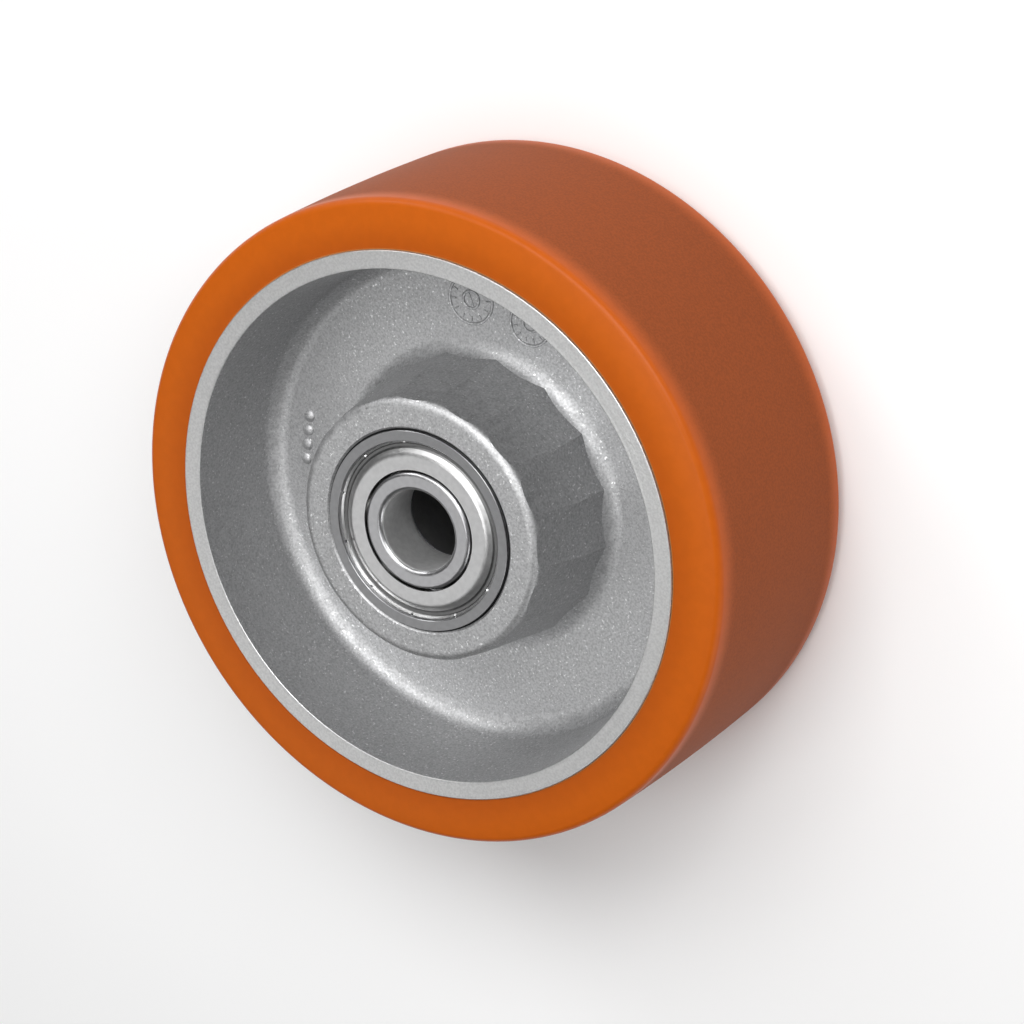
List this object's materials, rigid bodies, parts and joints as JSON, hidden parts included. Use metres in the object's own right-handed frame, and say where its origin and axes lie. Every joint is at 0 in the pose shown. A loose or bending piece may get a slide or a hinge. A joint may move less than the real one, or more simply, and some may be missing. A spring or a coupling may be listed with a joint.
{
  "type": "caster wheel",
  "caption": "Heavy-duty caster wheel: cast-aluminium centre with a bonded polyurethane tread, turning on shielded ball bearings with a spacer tube between them.",
  "frame": {"origin": "the wheel's centre: on its axis, half-way between its two faces", "axes": "+Z along the wheel's axis, out of its front face. The wheel lies flat on its back face; the hub's sixteen flats meet on corners at +X and every 22.5 degrees from it"},
  "size_m": [0.2, 0.2, 0.08],
  "materials": {
    "cast_aluminium": "sand-cast grain, machined rim faces",
    "polyurethane": "satin, ground tread",
    "bearing_steel": "ground",
    "polished_steel": "polished",
    "pressed_steel": "zinc-plated sheet",
    "cage_steel": "pressed sheet",
    "turned_steel": "turned tube"
  },
  "bodies": {
    "axle_sleeve": {"front_bearing_inner_ring": "bearing_steel", "spacer_tube": "turned_steel", "back_bearing_inner_ring": "bearing_steel"},
    "wheel": {"wheel_centre": "cast_aluminium", "tread": "polyurethane", "front_bearing_outer_ring": "bearing_steel", "front_bearing_outer_shield": "pressed_steel", "front_bearing_inner_shield": "pressed_steel", "back_bearing_outer_ring": "bearing_steel", "back_bearing_outer_shield": "pressed_steel", "back_bearing_inner_shield": "pressed_steel"},
    "front_ball_set": {"front_bearing_ball_1": "polished_steel", "front_bearing_ball_2": "polished_steel", "front_bearing_ball_3": "polished_steel", "front_bearing_ball_4": "polished_steel", "front_bearing_ball_5": "polished_steel", "front_bearing_ball_6": "polished_steel", "front_bearing_ball_7": "polished_steel", "front_bearing_cage_outer_half": "cage_steel", "front_bearing_cage_inner_half": "cage_steel", "front_bearing_cage_rivets": "cage_steel"},
    "back_ball_set": {"back_bearing_ball_1": "polished_steel", "back_bearing_ball_2": "polished_steel", "back_bearing_ball_3": "polished_steel", "back_bearing_ball_4": "polished_steel", "back_bearing_ball_5": "polished_steel", "back_bearing_ball_6": "polished_steel", "back_bearing_ball_7": "polished_steel", "back_bearing_cage_outer_half": "cage_steel", "back_bearing_cage_inner_half": "cage_steel", "back_bearing_cage_rivets": "cage_steel"}
  },
  "joints": [
    {"name": "wheel_spin", "type": "hinge", "parent": "axle_sleeve", "child": "wheel", "pos_m": [0, 0, 0], "axis": [0, 0, 1], "continuous": true},
    {"name": "front_ball_set_spin", "type": "hinge", "parent": "axle_sleeve", "child": "front_ball_set", "pos_m": [0, 0, 0.0315], "axis": [0, 0, 1], "continuous": true},
    {"name": "back_ball_set_spin", "type": "hinge", "parent": "axle_sleeve", "child": "back_ball_set", "pos_m": [0, 0, -0.0315], "axis": [0, 0, 1], "continuous": true}
  ],
  "couplings": [
    {"joint": "front_ball_set_spin", "follows": "wheel_spin", "ratio": 0.63218},
    {"joint": "back_ball_set_spin", "follows": "wheel_spin", "ratio": 0.63218}
  ]
}
